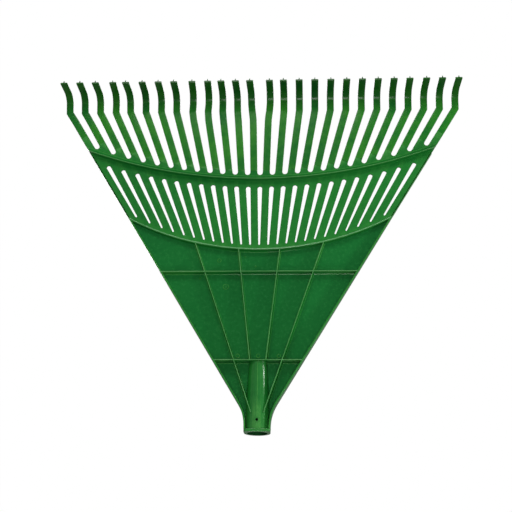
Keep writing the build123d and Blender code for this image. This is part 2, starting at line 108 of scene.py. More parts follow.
@dataclass(frozen=True)
class MouldedFinish:
    """Satin green polypropylene, with flow mottling, fine grain, scuffs and paler worn edges.

    Scales are in waves per metre. Painted light and shade: the brightness goes from shade_at_low at the
    height shade_low to shade_at_high at shade_high, painted shade on the tines' hooked tops; it is
    raised by outer_gain away from the middle, painted light on the outer tines, and lowered by tip_gain
    at the hooks' ends, painted shade on the tips. A faint paler line at line_height is a painted
    highlight, a glint across the bend.
    """

    slot: Slot
    kind: str
    deep: Colour
    pale: Colour
    # Scuff and worn-edge colour; the painted glint line uses it too.
    worn: Colour
    gloss: float = 0.13
    low_roughness: float = 0.17
    high_roughness: float = 0.27
    drift_scale: float = 7.0
    mottle_scale: float = 130.0
    mottle_share: float = 0.35
    grain_scale: float = 2600.0
    grain_depth: float = 0.03 * MM
    bump_strength: float = 0.22
    wave_height: float = 1.5
    scratch_scale: Triple = (1500.0, 1500.0, 60.0)
    patch_scale: float = 28.0
    scuff_height: float = -0.4
    scuff_share: float = 0.25
    scuff_roughness: float = 0.2
    edge_share: float = 0.5
    # Painted shade: brightness by height, darkening the tines' hooked tops.
    shade_low: float = 0.0
    shade_high: float = 0.5
    shade_at_low: float = 1.0
    shade_at_high: float = 1.0
    # Painted light: outer tines lighter. Painted shade: the hooks' ends darker.
    outer_gain: float = 1.0
    outer_from: float = 80.0 * MM
    outer_to: float = 280.0 * MM
    tip_gain: float = 1.0
    tip_from: float = -54.5 * MM
    tip_to: float = -50.0 * MM
    # A painted highlight: a pale glint line across the tines' bend.
    line_height: float = -1.0
    line_half_width: float = 0.6 * MM
    line_share: float = 0.0

    def build(self) -> Paint:
        """Makes the node material.

        Returns:
            The material, named after its slot and its kind.
        """
        material = bpy.data.materials.new(f"{self.slot.value}_{self.kind}")
        material.use_nodes = True
        material.node_tree.nodes.clear()
        bench = NodeBench(material.node_tree)
        where = bench.node("ShaderNodeTexCoord").outputs["Object"]
        mottle = bench.noise(where, self.mottle_scale, 5.0)
        scuffs = self.scuff_mask(bench, where)
        satin = bench.spread(mottle, *SATIN_SPAN, self.low_roughness, self.high_roughness)
        rough = bench.maths("ADD", satin, bench.maths("MULTIPLY", scuffs, self.scuff_roughness))
        shader = bench.node("ShaderNodeBsdfPrincipled", {
            "Base Color": self.colour(bench, where, mottle, scuffs),
            "Roughness": rough,
            "Specular IOR Level": self.gloss,
            "Normal": self.relief(bench, where, mottle, scuffs),
        })
        bench.node("ShaderNodeOutputMaterial", {"Surface": shader.outputs["BSDF"]})
        return material

    def colour(self, bench: "NodeBench", where: Pin, mottle: Pin, scuffs: Pin) -> Pin:
        """The green: mottling, scuffs and worn edges, with painted light, shade and a painted glint
        line.

        Args:
            bench: where the nodes are added.
            where: the place on the object.
            mottle: the flow mottling.
            scuffs: the scratch mask.

        Returns:
            The colour socket.
        """
        x, y, height = bench.parts(where)
        drift = bench.noise(where, self.drift_scale, 3.0)
        broad = bench.spread(drift, *DRIFT_SPAN, 0.0, 1.0 - self.mottle_share)
        close = bench.spread(mottle, *MOTTLE_SPAN, 0.0, self.mottle_share)
        green = bench.mix(bench.maths("ADD", broad, close), self.deep, self.pale)

        # Painted light and shade: darker up the hooks, lighter outwards, darker at the hooks' ends.
        upward = bench.spread(height, self.shade_low, self.shade_high,
                              self.shade_at_low, self.shade_at_high)
        off_middle = bench.maths("ABSOLUTE", x, 0.0)
        outward = bench.spread(off_middle, self.outer_from, self.outer_to, 1.0, self.outer_gain)
        forward = bench.spread(y, self.tip_from, self.tip_to, self.tip_gain, 1.0)
        shade = bench.maths("MULTIPLY", bench.maths("MULTIPLY", upward, outward), forward)
        green = bench.mix(scuffs, bench.tint(green, shade), self.worn)

        edges = bench.node("ShaderNodeNewGeometry").outputs["Pointiness"]
        worn_edges = bench.spread(edges, *EDGE_SPAN, 0.0, self.edge_share)
        wear = bench.maths("MULTIPLY", worn_edges, bench.spread(mottle, *WEAR_SPAN, 0.6, 1.0))
        green = bench.mix(wear, green, self.worn)
        # Painted highlight: a pale glint line across the bend, in the worn colour.
        if self.line_share:
            line = bench.band(height, self.line_height, self.line_half_width)
            green = bench.mix(bench.maths("MULTIPLY", line, self.line_share), green, self.worn)
        return green

    def scuff_mask(self, bench: "NodeBench", where: Pin) -> Pin:
        """Fine scratches that run up and down the head.

        Args:
            bench: where the nodes are added.
            where: the place on the object.

        Returns:
            A mask from 0 to the finish's scuff share.
        """
        lines = bench.noise(bench.stretch(where, Vector(self.scratch_scale)), 1.0, 2.0)
        patches = bench.noise(where, self.patch_scale, 2.0)
        fine = bench.spread(lines, *SCRATCH_SPAN, 0.0, 1.0)
        return bench.maths("MULTIPLY", fine, bench.spread(patches, *PATCH_SPAN, 0.0, self.scuff_share))

    def relief(self, bench: "NodeBench", where: Pin, mottle: Pin, scuffs: Pin) -> Pin:
        """The surface's grain, slight waviness and scratches, as a bumped normal.

        Args:
            bench: where the nodes are added.
            where: the place on the object.
            mottle: the flow mottling.
            scuffs: the scratch mask.

        Returns:
            The normal socket.
        """
        grain = bench.noise(where, self.grain_scale, 2.0)
        wave = bench.maths("MULTIPLY", mottle, self.wave_height)
        cuts = bench.maths("MULTIPLY", scuffs, self.scuff_height)
        depth = bench.maths("ADD", bench.maths("ADD", grain, wave), cuts)
        inputs = {"Strength": self.bump_strength, "Distance": self.grain_depth, "Height": depth}
        return bench.node("ShaderNodeBump", inputs).outputs["Normal"]


class NodeBench:
    """Adds and joins the nodes of one material."""

    def __init__(self, tree: bpy.types.NodeTree) -> None:
        """Keeps the tree that the nodes go into."""
        self.tree = tree

    def node(self, kind: str, inputs: dict[str | int, object] | None = None,
             **options: object) -> bpy.types.Node:
        """Adds a node.

        Args:
            kind: the node's type.
            inputs: a socket, number, vector or colour for each input, by name or number.
            options: the node's own settings.

        Returns:
            The node.
        """
        made = self.tree.nodes.new(kind)
        for name, choice in options.items():
            setattr(made, name, choice)
        for key, value in (inputs or {}).items():
            if isinstance(value, Pin):
                self.tree.links.new(value, made.inputs[key])
            else:
                made.inputs[key].default_value = (*value, 1.0) if isinstance(value, tuple) else value
        return made

    def noise(self, where: Pin, scale: float, detail: float) -> Pin:
        """Smooth noise over a place, about 0.5 in the middle, with finer layers for more detail."""
        inputs = {"Vector": where, "Scale": scale, "Detail": detail}
        return self.node("ShaderNodeTexNoise", inputs).outputs["Fac"]

    def spread(self, value: Pin, low: float, high: float, to_low: float, to_high: float) -> Pin:
        """Maps a value from the range low to high to another range, held at the ends."""
        inputs = {"Value": value, "From Min": low, "From Max": high, "To Min": to_low, "To Max": to_high}
        return self.node("ShaderNodeMapRange", inputs).outputs["Result"]

    def maths(self, operation: str, first: object, second: object) -> Pin:
        """One sum of two values."""
        inputs = {0: first, 1: second}
        return self.node("ShaderNodeMath", inputs, operation=operation).outputs["Value"]

    def mix(self, share: Pin, first: object, second: object) -> Pin:
        """Blends two colours by a share of the second."""
        inputs = {"Factor": share, 6: first, 7: second}
        return self.node("ShaderNodeMix", inputs, data_type="RGBA").outputs[2]

    def tint(self, colour: Pin, shade: Pin) -> Pin:
        """Makes a colour darker or lighter by a factor."""
        inputs = {0: colour, "Scale": shade}
        return self.node("ShaderNodeVectorMath", inputs, operation="SCALE").outputs["Vector"]

    def parts(self, where: Pin) -> list[Pin]:
        """The three coordinates of a place."""
        return list(self.node("ShaderNodeSeparateXYZ", {0: where}).outputs)

    def stretch(self, where: Pin, scale: Vector) -> Pin:
        """A place scaled by a different amount each way."""
        return self.node("ShaderNodeMapping", {"Vector": where, "Scale": scale}).outputs["Vector"]

    def band(self, value: Pin, middle: float, half: float) -> Pin:
        """A soft mask: 1 where a value is at the middle, falling to 0 at half the band's width."""
        off = self.maths("ABSOLUTE", self.maths("SUBTRACT", value, middle), 0.0)
        return self.spread(off, half * 0.4, half, 1.0, 0.0)


# ---------------------------------------------------------------- the workbench


def start_clean() -> None:
    """Leaves edit mode and deselects everything, so that an operator acts on new work only."""
    if bpy.context.object and bpy.context.object.mode != "OBJECT":
        bpy.ops.object.mode_set(mode="OBJECT")
    bpy.ops.object.select_all(action="DESELECT")


def take(piece: Piece) -> None:
    """Makes a piece the only selected and active object.

    Args:
        piece: what is taken.
    """
    start_clean()
    piece.select_set(True)
    bpy.context.view_layer.objects.active = piece


@contextmanager
def editing(piece: Piece) -> Iterator[None]:
    """Opens a piece in edit mode with all of it selected, and leaves edit mode afterwards.

    Args:
        piece: what is edited.
    """
    take(piece)
    bpy.ops.object.mode_set(mode="EDIT")
    bpy.ops.mesh.select_all(action="SELECT")
    yield
    bpy.ops.object.mode_set(mode="OBJECT")


def modify(piece: Piece, kind: str, **settings: object) -> None:
    """Adds a modifier to a piece and applies it.

    Args:
        piece: what is changed.
        kind: the modifier's type.
        settings: the modifier's own settings.
    """
    take(piece)
    change = piece.modifiers.new(kind.lower(), kind)
    for name, value in settings.items():
        setattr(change, name, value)
    bpy.ops.object.modifier_apply(modifier=change.name)


def sheet(name: str, rows: list[list[Vector]]) -> Piece:
    """A sheet of four-sided faces: a grid primitive with its corners placed.

    Args:
        name: the piece's name.
        rows: the corners, row by row, each row as long as the others.

    Returns:
        The piece.
    """
    start_clean()
    columns, lines = len(rows[0]) - 1, len(rows) - 1
    bpy.ops.mesh.primitive_grid_add(x_subdivisions=columns, y_subdivisions=lines, size=1.0)
    piece = bpy.context.object
    piece.name = name
    place = [number for row in rows for corner in row for number in corner]
    piece.data.vertices.foreach_set("co", place)
    piece.data.update()
    return piece


def close_up(piece: Piece) -> None:
    """Merges a rolled sheet's seam, caps its open ends and turns its faces outwards.

    Args:
        piece: what is closed.
    """
    with editing(piece):
        bpy.ops.mesh.remove_doubles(threshold=MERGE_WITHIN)
        bpy.ops.mesh.fill_holes(sides=0)
        bpy.ops.mesh.select_all(action="SELECT")
        bpy.ops.mesh.normals_make_consistent(inside=False)


def mirrored(side: list[Pair]) -> list[Pair]:
    """An outline from one of its sides: the same points come back on the other side."""
    return [*side, *[(-off, depth) for off, depth in reversed(side)]]


def set_across(outline: list[Pair], place: Vector, square: Vector) -> list[Vector]:
    """An outline of (offset, Y) points, set up across a line at a place."""
    return [Vector((place.x, depth, place.z)) + square * off for off, depth in outline]


def shares(whole: float, steps: int) -> list[float]:
    """Even steps from 0 to a whole, with both ends."""
    return [whole * i / steps for i in range(steps + 1)]


def bar(name: str, sections: list[list[Vector]]) -> Piece:
    """A solid bar through a row of closed sections, capped at both ends.

    Args:
        name: the piece's name.
        sections: the corners of each section, all with the same count and order.

    Returns:
        The piece.
    """
    piece = sheet(name, [[*section, section[0]] for section in sections])
    close_up(piece)
    return piece


def spun_bar(name: str, section: list[Pair], arc: "Arc", half_angle: float, steps: int) -> Piece:
    """A bar with one section all along an arc of the fan.

    Args:
        name: the piece's name.
        section: corners as (radius, Y).
        arc: the arc, for its centre.
        half_angle: how far the bar reaches to each side, in radians.
        steps: how many straight runs make the arc.

    Returns:
        The piece.
    """
    start_clean()
    bpy.ops.mesh.primitive_circle_add(vertices=len(section), radius=MM, fill_type="NOTHING")
    piece = bpy.context.object
    piece.name = name
    for corner, (radius, depth) in zip(piece.data.vertices, section):
        x, z = arc.place(-half_angle, radius)
        corner.co = (x, depth, z)
    hub = (0.0, 0.0, arc.centre)
    with editing(piece):
        bpy.ops.mesh.spin(steps=steps, angle=2 * half_angle, center=hub, axis=(0.0, 1.0, 0.0))
    close_up(piece)
    return piece


def trim(piece: Piece, point: Vector, outward: Vector) -> None:
    """Cuts away what lies beyond a plane and closes the cut.

    Args:
        piece: what is cut.
        point: a point of the plane.
        outward: the plane's normal, towards the side that goes.
    """
    with editing(piece):
        bpy.ops.mesh.bisect(plane_co=point, plane_no=outward, use_fill=True, clear_outer=True)


def drop_faces(piece: Piece, chosen: set[int]) -> None:
    """Deletes faces.

    Args:
        piece: what loses the faces.
        chosen: the faces' numbers.
    """
    with editing(piece):
        bpy.ops.mesh.select_all(action="DESELECT")
        bpy.ops.mesh.select_mode(type="FACE")
    for number in chosen:
        piece.data.polygons[number].select = True
    bpy.ops.object.mode_set(mode="EDIT")
    bpy.ops.mesh.delete(type="FACE")
    bpy.ops.mesh.select_mode(type="VERT")
    bpy.ops.object.mode_set(mode="OBJECT")


def ease_edges(piece: Piece, width: float, segments: int = 2, limit: float = 50.0) -> None:
    """Rounds a piece's sharp edges as a mould leaves them.

    Args:
        piece: what is rounded.
        width: the rounding's width.
        segments: faces across the rounding.
        limit: only edges that turn more than this are rounded, in degrees.
    """
    modify(piece, "BEVEL", width=width, segments=segments, limit_method="ANGLE",
           angle_limit=math.radians(limit), use_clamp_overlap=True)


def finished_copy(node: str, name: str, rounding: float) -> Piece:
    """A CAD node's shape as a new piece, merged, with its edges rounded.

    Args:
        node: the CAD node.
        name: the piece's name.
        rounding: width of the rounded edges.

    Returns:
        The piece.
    """
    piece = bpy.data.objects.new(name, frame["nodes"][node].data.copy())
    bpy.context.scene.collection.objects.link(piece)
    take(piece)
    bpy.ops.mesh.customdata_custom_splitnormals_clear()
    with editing(piece):
        bpy.ops.mesh.remove_doubles(threshold=5 * MERGE_WITHIN)
        bpy.ops.mesh.dissolve_limited(angle_limit=math.radians(0.5))
        bpy.ops.mesh.normals_make_consistent(inside=False)
    ease_edges(piece, rounding, segments=3, limit=40.0)
    return piece


def dress(piece: Piece, material: Paint, slot: Slot) -> Piece:
    """Smooths a finished piece and paints it.

    Args:
        piece: what is dressed.
        material: its finish.
        slot: the record's slot; not used.

    Returns:
        The same piece.
    """
    take(piece)
    bpy.ops.object.shade_smooth_by_angle(angle=SMOOTH_ANGLE)
    modify(piece, "WEIGHTED_NORMAL", keep_sharp=True)
    piece.data.materials.clear()
    piece.data.materials.append(material)
    LOG.info("made %s with %d faces", piece.name, len(piece.data.polygons))
    return piece


def paint_highlight(piece: Piece, material: Paint, level: float) -> None:
    """Gives the faces that stand furthest out a paler finish, a painted highlight along crests and
    beads.

    Args:
        piece: a dressed piece.
        material: the paler finish, a painted highlight.
        level: faces whose middle lies in front of this Y get the painted highlight.
    """
    piece.data.materials.append(material)
    for face in piece.data.polygons:
        if face.center.y < level:
            face.material_index = 1


# ---------------------------------------------------------------- the fan's geometry


@dataclass(frozen=True)
class Fan:
    """The lines that the tines and ribs follow, and the level of the head's face."""

    slopes: tuple[float, ...]
    roots: tuple[float, ...]
    apex: float
    fold: float
    width: float
    front: float
    back: float

    @classmethod
    def from_frame(cls) -> "Fan":
        """Works the fan out from the frame's joints and boxes.

        Returns:
            The fan.
        """
        joints = sorted(frame["joints"], key=lambda joint: joint["name"])
        slopes = tuple(-joint["axis"][2] / joint["axis"][0] for joint in joints)
        roots = tuple(joint["pos_m"][2] for joint in joints)
        first = joints[0]["pos_m"]
        apex = first[2] - first[0] / slopes[0]
        last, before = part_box("tine_26")[1].x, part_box("tine_25")[1].x
        pitch = last - before
        fold = apex + pitch / (slopes[-1] - slopes[-2])
        width = 2 * (last - pitch * (len(slopes) - 1) / 2)
        low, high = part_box("comb_struts")
        return cls(slopes, roots, apex, fold, width, low.y, high.y)

    @property
    def last(self) -> int:
        """The number of the last tine, counted from 0."""
        return len(self.slopes) - 1

    def gap_slope(self, index: int) -> float:
        """Slope of the gap between tines index and index + 1."""
        return (self.slopes[index] + self.slopes[index + 1]) / 2

    @staticmethod
    def along(slope: float) -> Vector:
        """Unit vector up a line of the fan."""
        return Vector((slope, 0.0, 1.0)).normalized()

    @staticmethod
    def sideways(slope: float) -> Vector:
        """Unit vector square to a line of the fan, to the right."""
        return Vector((1.0, 0.0, -slope)).normalized()

    def at_height(self, slope: float, height: float) -> Vector:
        """The point of a line of the fan at a height, on the head's face."""
        return Vector((slope * (height - self.apex), self.front, height))


@dataclass(frozen=True)
class Arc:
    """A round stretch across the fan, centred above its middle."""

    centre: float
    radius: float

    @classmethod
    def through(cls, fan: Fan, middle: float, edge: float) -> "Arc":
        """The arc with given heights at the fan's middle and on its outermost tine's line.

        Args:
            fan: the fan.
            middle: height at the middle.
            edge: height on the outermost line.

        Returns:
            The arc.
        """
        run = fan.slopes[-1] * (edge - fan.apex)
        rise = edge - middle
        radius = (run**2 + rise**2) / (2 * rise)
        return cls(middle + radius, radius)

    def dropped(self, distance: float) -> "Arc":
        """The arc with the same centre that lies a distance lower."""
        return Arc(self.centre, self.radius + distance)

    def place(self, angle: float, radius: float) -> Pair:
        """X and Z of a point at an angle from the middle and a radius."""
        return radius * math.sin(angle), self.centre - radius * math.cos(angle)

    def crossing(self, fan: Fan, slope: float, offset: float = 0.0,
                 apex: float | None = None) -> Vector:
        """Where a line of the fan meets the arc's near side.

        Args:
            fan: the fan.
            slope: the line's slope.
            offset: how far the line is moved to the right, square to itself.
            apex: where the line crosses the middle, if not at the fan's own apex.

        Returns:
            The point, on the head's face.
        """
        foot = fan.apex if apex is None else apex
        start = Vector((0.0, 0.0, foot)) + fan.sideways(slope) * offset
        way = fan.along(slope)
        apart = start - Vector((0.0, 0.0, self.centre))
        lead = way.dot(apart)
        past = apart.length_squared - self.radius**2
        point = start + way * (-lead - math.sqrt(lead * lead - past))
        point.y = fan.front
        return point


@dataclass(frozen=True)
class HeadEdge:
    """The straight outer edge of the head: it runs up into the outermost tine's own edge."""

    fan: Fan
    tube_height: float = LOWER_RIB_HEIGHT
    tube_offset: float = 3.4 * MM
    root_height: float = ROOTS_EDGE

    def beside(self, height: float, offset: float) -> float:
        """X of a line beside the outermost tine's own line, at a height."""
        slope = self.fan.slopes[-1]
        return slope * (height - self.fan.apex) + offset * math.hypot(1.0, slope)

    @property
    def slope(self) -> float:
        """How far out the edge goes for each unit of height.

        Returns:
            The slope, as X over Z.
        """
        rise = self.root_height - self.tube_height
        high = self.beside(self.root_height, self.fan.width / 2)
        return (high - self.beside(self.tube_height, self.tube_offset)) / rise

    @property
    def apex(self) -> float:
        """The height at which the two edges would meet."""
        return self.tube_height - self.beside(self.tube_height, self.tube_offset) / self.slope

    def plane(self, side: int, inset: float) -> tuple[Vector, Vector]:
        """The plane of the edge on one side, moved inwards, as a point and an outward normal."""
        outward = self.fan.sideways(side * self.slope) * side
        return Vector((0.0, 0.0, self.apex)) - outward * inset, outward

    def x_at(self, height: float, inset: float) -> float:
        """Half width of the head at a height, less an inset."""
        return self.slope * (height - self.apex) - inset * math.hypot(1.0, self.slope)

    def crossing(self, arc: Arc, side: int, inset: float) -> Vector:
        """Where the edge, moved inwards by an inset, meets an arc's near side."""
        return arc.crossing(self.fan, side * self.slope, -side * inset, self.apex)


@dataclass(frozen=True)
class TrayFloor:
    """The sloping front face of the web between the flanges."""

    front: float
    low: float = LOWER_RIB_HEIGHT
    high: float = RIM_MIDDLE
    depth_low: float = 15.0 * MM
    depth_high: float = 8.0 * MM

    @property
    def fall(self) -> float:
        """How much shallower the floor gets for each unit of height."""
        return (self.depth_low - self.depth_high) / (self.high - self.low)

    def y_at(self, height: float) -> float:
        """The floor's Y at a height."""
        return self.front + self.depth_low - self.fall * (height - self.low)


# ---------------------------------------------------------------- the comb


@dataclass
class Comb:
    """The slotted plate between the two arcs, with rounded slot ends and eased edges."""

    fan: Fan
    roots: Arc
    rim: Arc
    edge: HeadEdge
    slot_top_drop: float = 22.5 * MM
    slot_end_rise: float = 3.2 * MM
    rim_inside: float = 1.5 * MM
    foot_rise: float = 9.0 * MM
    rounding: float = 0.55 * MM
    edge_inset: float = 0.1 * MM
    across: tuple[float, ...] = (-0.92, -0.7, -0.38, 0.0, 0.38, 0.7, 0.92)
    open_bands: tuple[int, int] = (1, 4)

    def edge_point(self, index: int, side: int, arc: Arc) -> Vector:
        """Where one edge of a strut meets an arc; the head's own edge for the outermost ones.

        Args:
            index: the strut's number.
            side: -1 for its left edge and 1 for its right one.
            arc: the arc.

        Returns:
            The point.
        """
        if index == 0 and side < 0 or index == self.fan.last and side > 0:
            return self.edge.crossing(arc, side, self.edge_inset)
        return arc.crossing(self.fan, self.fan.slopes[index], side * self.fan.width / 2)

    def square_point(self, index: int, side: int, level: Vector) -> Vector:
        """The point of a strut's edge that is level with a place, square to the strut.

        Args:
            index: the strut's number.
            side: -1 for its left edge and 1 for its right one.
            level: the place.

        Returns:
            The point.
        """
        slope = self.fan.slopes[index]
        start = Vector((0.0, self.fan.front, self.fan.apex))
        start += self.fan.sideways(slope) * side * self.fan.width / 2
        way = self.fan.along(slope)
        return start + way * way.dot(level - start)

    def gap_between(self, left: Vector, right: Vector, bulge: float, slope: float) -> list[Vector]:
        """Points across a gap between two struts.

        Args:
            left: the corner of the left strut.
            right: the corner of the right strut.
            bulge: 0 for a straight row, 1 for a half round up and -1 for one down.
            slope: the gap's slope.

        Returns:
            The points from left to right, without the corners.
        """
        middle, half = (left + right) / 2, (right - left) / 2
        way = self.fan.along(slope) * half.length * bulge
        return [middle + half * u + way * math.sqrt(1 - u * u) for u in self.across]

    def arc_row(self, arc: Arc) -> list[Vector]:
        """A row of corners along an arc, from strut to strut.

        Args:
            arc: the arc.

        Returns:
            The row.
        """
        row = []
        for i in range(self.fan.last + 1):
            row += [self.edge_point(i, -1, arc), self.edge_point(i, 1, arc)]
            if i < self.fan.last:
                after = self.edge_point(i + 1, -1, arc)
                row += self.gap_between(row[-1], after, 0.0, self.fan.gap_slope(i))
        return row

    def end_row(self, arc: Arc, bulge: float, outer: Arc) -> list[Vector]:
        """A row of corners through the round ends of the gaps.

        Args:
            arc: where the half rounds have their centres.
            bulge: 1 for ends that are round at their top, -1 at their foot.
            outer: where the head's own edges are cut.

        Returns:
            The row.
        """
        fan = self.fan
        levels = [arc.crossing(fan, fan.gap_slope(i)) for i in range(fan.last)]
        row = [self.edge_point(0, -1, outer)]
        for i, level in enumerate(levels):
            left = self.square_point(i, 1, level)
            right = self.square_point(i + 1, -1, level)
            row += [left, *self.gap_between(left, right, bulge, fan.gap_slope(i)), right]
        return [*row, self.edge_point(fan.last, 1, outer)]

    def stub_row(self) -> list[Vector]:
        """The square tops of the stubs that carry the tines.

        Returns:
            The row. Its gaps have no width, because their faces are deleted.
        """
        row = []
        for i, (slope, root) in enumerate(zip(self.fan.slopes, self.fan.roots)):
            level = self.fan.at_height(slope, root - ROOT_HALF_GAP)
            row += [self.square_point(i, -1, level), self.square_point(i, 1, level)]
            if i < self.fan.last:
                row += [row[-1]] * len(self.across)
        return row

    def build(self) -> Piece:
        """Makes the plate.

        Returns:
            The finished piece.
        """
        slot_feet = self.rim.dropped(-self.foot_rise)
        slot_tops = self.roots.dropped(self.slot_top_drop)
        gap_feet = self.end_row(self.roots, -1.0, self.roots)
        gap_feet[0] = self.square_point(0, -1, gap_feet[0])
        gap_feet[-1] = self.square_point(self.fan.last, 1, gap_feet[-1])
        rows = [
            self.arc_row(self.rim.dropped(-self.rim_inside)),
            self.end_row(slot_feet, -1.0, slot_feet),
            self.end_row(slot_tops.dropped(self.slot_end_rise), 1.0, slot_tops),
            self.arc_row(self.roots.dropped(RIDGE_DROP)),
            gap_feet,
            self.stub_row(),
        ]
        plate = sheet("comb_plate", rows)
        columns, per_strut = len(rows[0]) - 1, len(self.across) + 2
        gaps = [column for column in range(columns) if column % per_strut != 0]
        drop_faces(plate, {band * columns + column for band in self.open_bands for column in gaps})
        modify(plate, "SOLIDIFY", thickness=self.fan.back - self.fan.front, offset=-1.0)
        with editing(plate):
            bpy.ops.mesh.remove_doubles(threshold=MERGE_WITHIN)
            bpy.ops.mesh.normals_make_consistent(inside=False)
        ease_edges(plate, self.rounding)
        return plate


# ---------------------------------------------------------------- the ridge and the lower arc


@dataclass
class ArcRidge:
    """The wedge across the comb: a long ramp above and a steep dark face below."""

    fan: Fan
    roots: Arc
    edge: HeadEdge
    height: float = 8.0 * MM
    ramp: float = 5.5 * MM
    foot: float = 1.3 * MM
    crest: float = 1.0 * MM
    sunk: float = 1.2 * MM
    edge_inset: float = 0.2 * MM
    half_angle: float = math.radians(23.5)
    steps: int = 96

    def build(self) -> Piece:
        """Makes the ridge.

        Returns:
            The finished piece.
        """
        top, face = self.roots.radius + RIDGE_DROP, self.fan.front
        tip, half_way = face - self.height, face - self.height * 0.5
        round_off, foot = self.crest / 2, top + self.foot
        section = [
            (top - self.ramp - 1.6 * MM, face + self.sunk),
            (top - self.ramp - 1.4 * MM, face - 0.05 * MM),
            (top - self.ramp * 0.82, face - 0.9 * MM),
            (top - self.ramp * 0.45, half_way),
            (top - self.ramp * 0.16, tip + 1.0 * MM),
            (top - 0.2 * MM, tip + 0.4 * MM),
            (top + round_off * 0.5, tip + 0.05 * MM),
            (top + round_off, tip),
            (top + round_off * 1.5, tip + 0.05 * MM),
            (top + self.crest, tip + 0.45 * MM),
            (top + self.foot * 0.86, half_way),
            (foot, face - 0.4 * MM),
            (foot + 0.4 * MM, face - 0.03 * MM),
            (foot + 0.6 * MM, face + self.sunk),
        ]
        ridge = spun_bar("arc_ridge", section, self.roots, self.half_angle, self.steps)
        for side in (-1, 1):
            trim(ridge, *self.edge.plane(side, self.edge_inset))
        return ridge


@dataclass
class ArcRim:
    """The step between the tray and the comb, with a rounded bead along its crest."""

    fan: Fan
    rim: Arc
    edge: HeadEdge
    floor: TrayFloor
    thickness: float = 3.0 * MM
    proud: float = 0.5 * MM
    shoulder: float = 0.9 * MM
    fillet: float = 1.6 * MM
    web: float = 2.4 * MM
    edge_inset: float = 1.4 * MM
    half_angle: float = math.radians(30)
    steps: int = 80

    def build(self) -> Piece:
        """Makes the wall and its bead.

        Returns:
            The finished piece.
        """
        outer, half = self.rim.radius, self.thickness / 2
        inner, low = outer - self.thickness, self.fan.front + self.shoulder
        floor = self.floor.y_at(self.floor.high)
        back = floor + self.web
        crest = [
            (inner + half - half * math.cos(turn), low - (self.proud + self.shoulder) * math.sin(turn))
            for turn in shares(math.pi, 10)
        ]
        foot = [
            (outer + self.fillet * (1 - math.cos(turn)), floor - self.fillet * (1 - math.sin(turn)))
            for turn in shares(math.pi / 2, 5)
        ]
        section = [
            *crest,
            *foot,
            (outer + self.fillet, floor + 0.8 * MM),
            (outer + 0.4 * MM, floor + 0.8 * MM),
            (outer, back + 0.1 * MM),
            (inner + 0.7 * MM, back + 0.1 * MM),
            (inner, back - 0.6 * MM),
        ]
        rim = spun_bar("arc_rim", section, self.rim, self.half_angle, self.steps)
        for side in (-1, 1):
            trim(rim, *self.edge.plane(side, self.edge_inset))
        return rim


# ---------------------------------------------------------------- ribs and flanges


@dataclass
class TrayRib:
    """A thin drafted wall on the tray's floor, with a rounded crest and filleted feet."""

    name: str
    floor: TrayFloor
    start: Vector
    end: Vector
    crest: float
    crest_width: float = 1.5 * MM
    foot_width: float = 2.3 * MM
    fillet: float = 1.1 * MM
    runs: int = 6

    def section(self, place: Vector, square: Vector) -> list[Vector]:
        """The rib's section at a place of its line.

        Args:
            place: the place, of which X and Z are used.
            square: unit vector square to the line.

        Returns:
            The corners in order.
        """
        floor = self.floor.y_at(place.z)
        foot, half = self.foot_width / 2, self.crest_width / 2
        side = [
            (foot + self.fillet, floor + 0.5 * MM),
            (foot + self.fillet, floor - 0.02 * MM),
            (foot + self.fillet * 0.3, floor - self.fillet * 0.3),
            (foot, floor - self.fillet),
            (half, self.crest + 0.5 * MM),
            (half * 0.75, self.crest + 0.15 * MM),
            (half * 0.35, self.crest),
        ]
        return set_across(mirrored(side), place, square)

    def build(self) -> Piece:
        """Makes the rib.

        Returns:
            The finished piece.
        """
        way = (self.end - self.start).normalized()
        square = Vector((way.z, 0.0, -way.x))
        places = [self.start.lerp(self.end, share) for share in shares(1.0, self.runs)]
        return bar(self.name, [self.section(place, square) for place in places])


@dataclass
class RibSet:
    """The two cross ribs and the four long ribs of the tray."""

    fan: Fan
    rim: Arc
    edge: HeadEdge
    floor: TrayFloor
    cross_heights: Pair = (LOWER_RIB_HEIGHT, 227.0 * MM)
    cross_below_face: float = 0.12 * MM
    long_below_face: float = 0.04 * MM
    long_crest_width: float = 1.3 * MM
    long_foot_width: float = 2.1 * MM
    inner_slope: float = 0.1134
    outer_slope: float = 0.3402
    outer_foot: float = 26.0 * MM
    into_flange: float = 1.2 * MM

    def build(self) -> dict[str, Piece]:
        """Makes every rib.

        Returns:
            The pieces, by the CAD node that each stands for.
        """
        made, face = {}, self.fan.front
        for height, node in zip(self.cross_heights, ("cross_rib_lower", "cross_rib_upper")):
            reach = self.edge.x_at(height, self.into_flange)
            ends = Vector((-reach, 0, height)), Vector((reach, 0, height))
            made[node] = TrayRib(node + "_rounded", self.floor, *ends, face - self.cross_below_face)
        for side, word in ((-1, "left"), (1, "right")):
            for slope, foot, kind in (
                (self.inner_slope, self.cross_heights[0], "inner"),
                (self.outer_slope, self.outer_foot, "outer"),
            ):
                node = f"{kind}_rib_{word}"
                start = self.fan.at_height(side * slope, foot)
                end = self.rim.dropped(-MM).crossing(self.fan, side * slope)
                made[node] = TrayRib(
                    node + "_rounded", self.floor, start, end, face - self.long_below_face,
                    self.long_crest_width, self.long_foot_width,
                )
        return {node: rib.build() for node, rib in made.items()}


# ---------------------------------------------------------------- the socket and the marks


